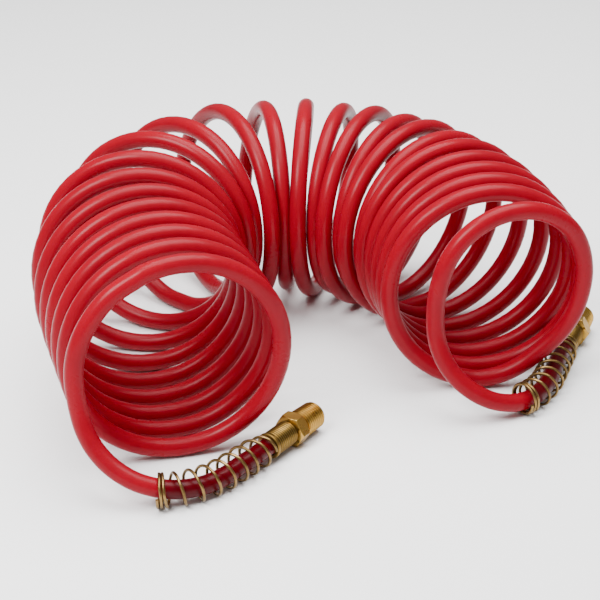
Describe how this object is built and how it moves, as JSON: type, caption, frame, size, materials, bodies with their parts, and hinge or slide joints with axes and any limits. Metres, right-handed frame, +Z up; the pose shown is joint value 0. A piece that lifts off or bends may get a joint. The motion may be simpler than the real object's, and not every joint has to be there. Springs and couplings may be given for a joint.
{
  "type": "coiled recoil air hose",
  "caption": "Self-storing coiled nylon air hose bent in a horseshoe, with a male taper-pipe swivel fitting and a wire spring guard on each end.",
  "frame": {"origin": "middle of the footprint, on the surface that the coil lies on", "axes": "+Z up; the horseshoe is open towards -Y, where both fittings lie; +X to the right seen from there"},
  "size_m": [0.281, 0.278, 0.1031],
  "materials": {
    "hose_nylon": "glossy red nylon tube",
    "brass": "turned brass, lightly tarnished",
    "aged_brass": "grooved brass, darkened",
    "guard_wire": "brass-plated spring wire",
    "spring_steel": "bright snap ring",
    "seal_rubber": "matt black nitrile"
  },
  "bodies": {
    "hose": {"hose_coil": "hose_nylon", "left_hose_tail": "hose_nylon", "right_hose_tail": "hose_nylon", "left_spring_guard": "guard_wire", "right_spring_guard": "guard_wire", "left_crimp_sleeve": "aged_brass", "left_barbed_stem": "brass", "left_seal_ring": "seal_rubber", "right_crimp_sleeve": "aged_brass", "right_barbed_stem": "brass", "right_seal_ring": "seal_rubber"},
    "left_swivel": {"left_threaded_nose": "brass", "left_retaining_ring": "spring_steel"},
    "right_swivel": {"right_threaded_nose": "brass", "right_retaining_ring": "spring_steel"}
  },
  "joints": [
    {"name": "left_nose_turn", "type": "hinge", "parent": "hose", "child": "left_swivel", "pos_m": [-0.01379, -0.07951, 0.0073], "axis": [0.5878, 0.809, 0], "continuous": true},
    {"name": "right_nose_turn", "type": "hinge", "parent": "hose", "child": "right_swivel", "pos_m": [0.12869, 0.01826, 0.0073], "axis": [0.3746, 0.9272, 0], "continuous": true}
  ]
}
